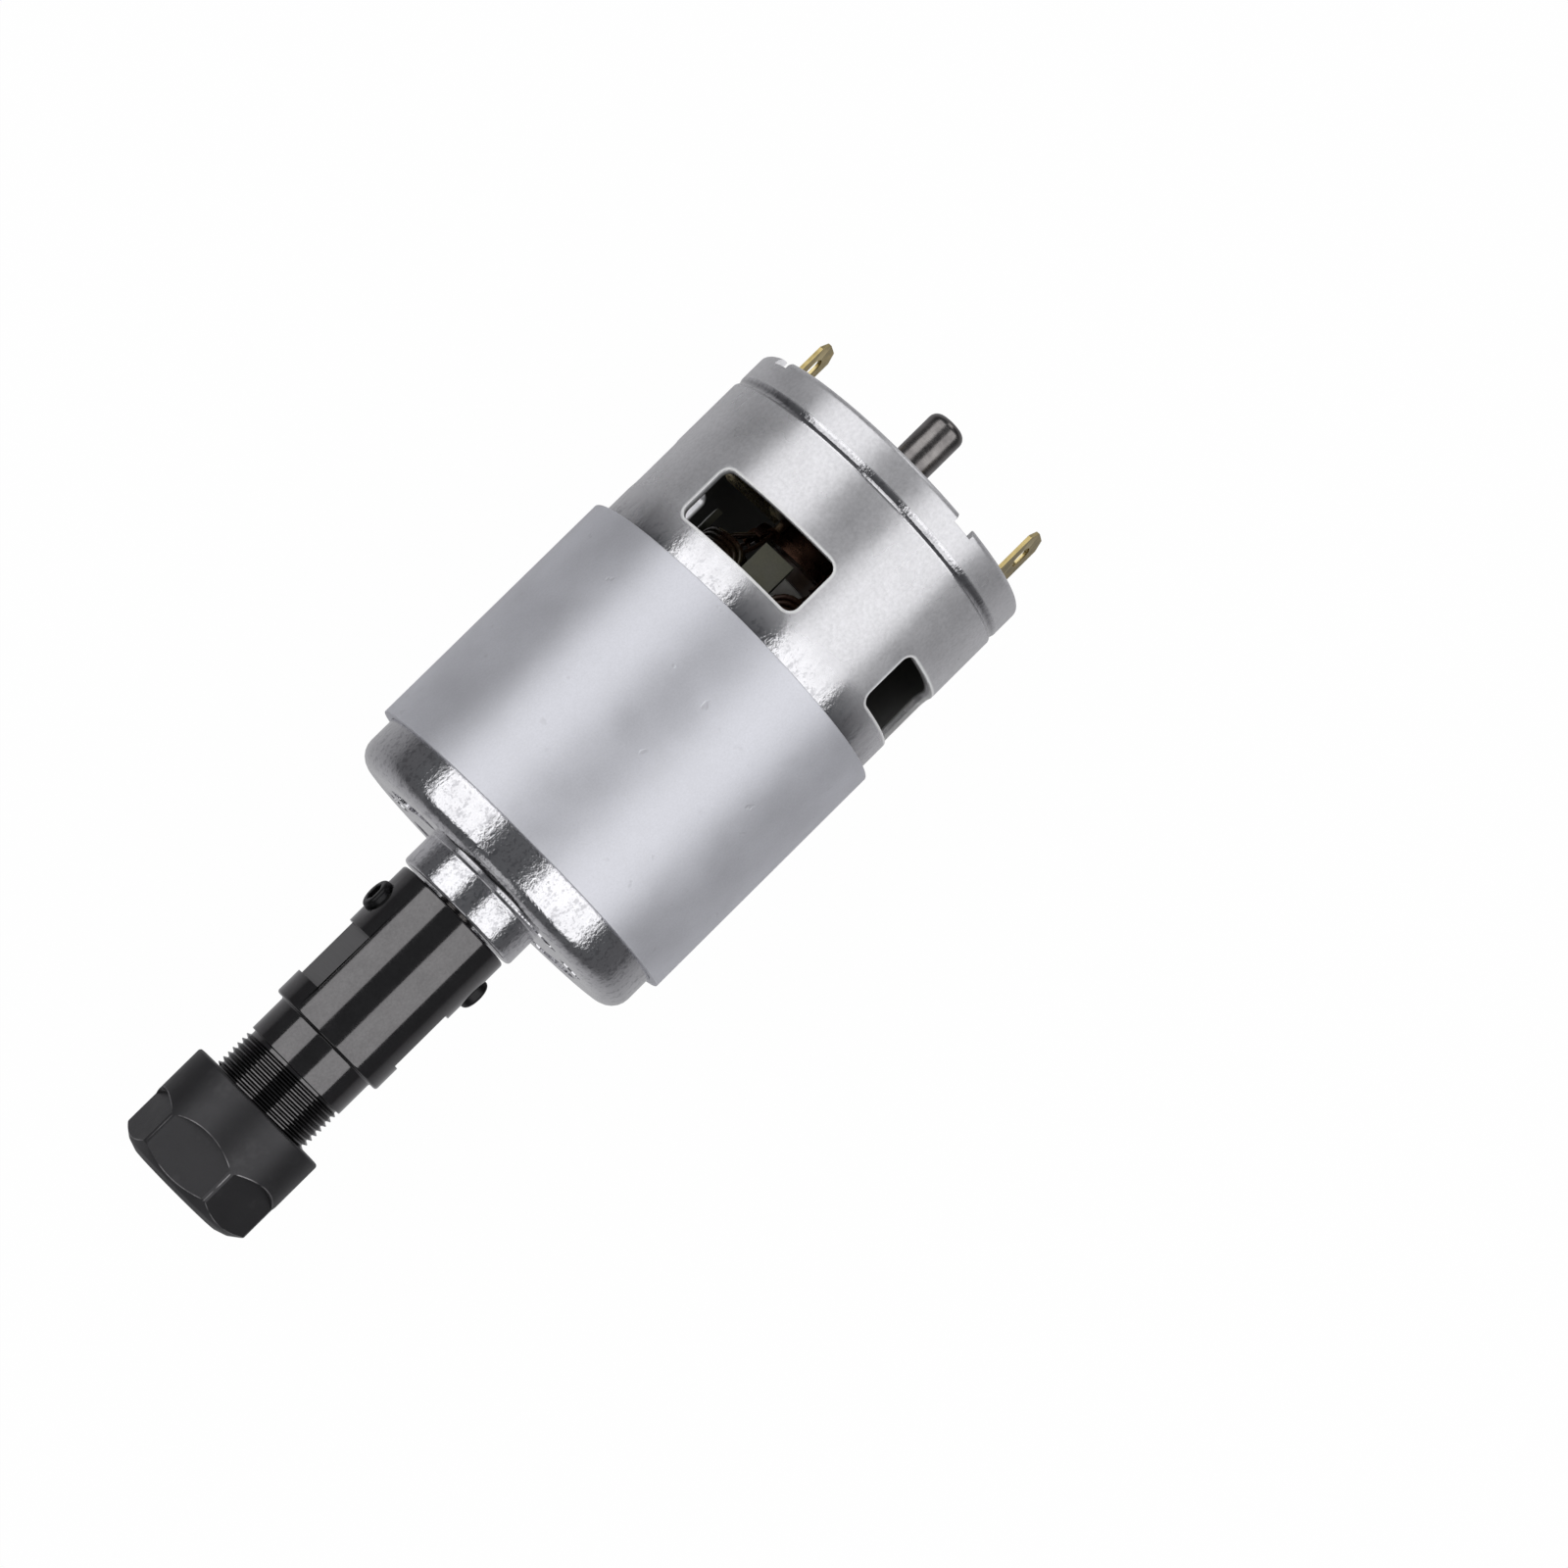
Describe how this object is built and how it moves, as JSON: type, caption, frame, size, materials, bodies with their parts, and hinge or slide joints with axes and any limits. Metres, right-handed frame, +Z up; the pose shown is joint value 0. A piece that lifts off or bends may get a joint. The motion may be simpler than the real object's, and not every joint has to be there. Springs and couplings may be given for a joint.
{
  "type": "motor spindle",
  "caption": "Brushed DC motor with a steel can and flux ring, carrying a set-screwed collet holder and hexagon clamp nut on its front shaft.",
  "frame": {"origin": "on the spindle axis, in the plane of the motor's front mounting face", "axes": "+X along the spindle axis from the collet towards the rear shaft, +Z up, with the spindle level as its bracket holds it"},
  "size_m": [0.1266, 0.0445, 0.0444],
  "materials": {
    "can_plating": "satin",
    "ring_plating": "matte",
    "ferrite": "matte",
    "spring_steel": "satin",
    "bearing_steel": "polished",
    "card_board": "matte",
    "brass": "satin",
    "carbon": "matte",
    "shaft_steel": "satin",
    "core_steel": "matte",
    "enamelled_copper": "gloss",
    "liner": "satin",
    "copper": "satin",
    "hub_plastic": "matte",
    "spacer_plastic": "satin",
    "black_oxide": "satin",
    "screw_black": "satin",
    "collet_steel": "satin",
    "nut_black": "matte"
  },
  "bodies": {
    "motor": {"motor_can": "can_plating", "flux_ring": "ring_plating", "magnet_a": "ferrite", "magnet_b": "ferrite", "magnet_clips": "spring_steel", "front_bearing_outer": "bearing_steel", "rear_bearing_outer": "bearing_steel", "rear_cover": "can_plating", "brush_card": "card_board", "brush_box_a": "brass", "brush_box_b": "brass", "brush_a": "carbon", "brush_b": "carbon", "brush_spring_a": "spring_steel", "brush_spring_b": "spring_steel", "terminal_a": "brass", "terminal_b": "brass"},
    "rotor": {"motor_shaft": "shaft_steel", "front_bearing_inner": "bearing_steel", "rear_bearing_inner": "bearing_steel", "armature_core": "core_steel", "windings": "enamelled_copper", "slot_liners": "liner", "commutator": "copper", "commutator_hub": "hub_plastic", "shaft_spacers": "spacer_plastic", "collet_holder": "black_oxide", "set_screws": "screw_black"},
    "collet": {"collet": "collet_steel"},
    "clamp_nut": {"clamp_nut": "nut_black"}
  },
  "joints": [
    {"name": "rotor_spin", "type": "hinge", "parent": "motor", "child": "rotor", "pos_m": [0, 0, 0], "axis": [1, 0, 0], "continuous": true},
    {"name": "collet_slide", "type": "slide", "parent": "rotor", "child": "collet", "axis": [-1, 0, 0], "range_m": [0, 0.00225]},
    {"name": "nut_turn", "type": "hinge", "parent": "collet", "child": "clamp_nut", "pos_m": [-0.043, 0, 0], "axis": [-1, 0, 0], "range_deg": [0, 1080]}
  ],
  "couplings": [
    {"joint": "nut_turn", "follows": "collet_slide", "rad_per_m": 8377.6}
  ]
}
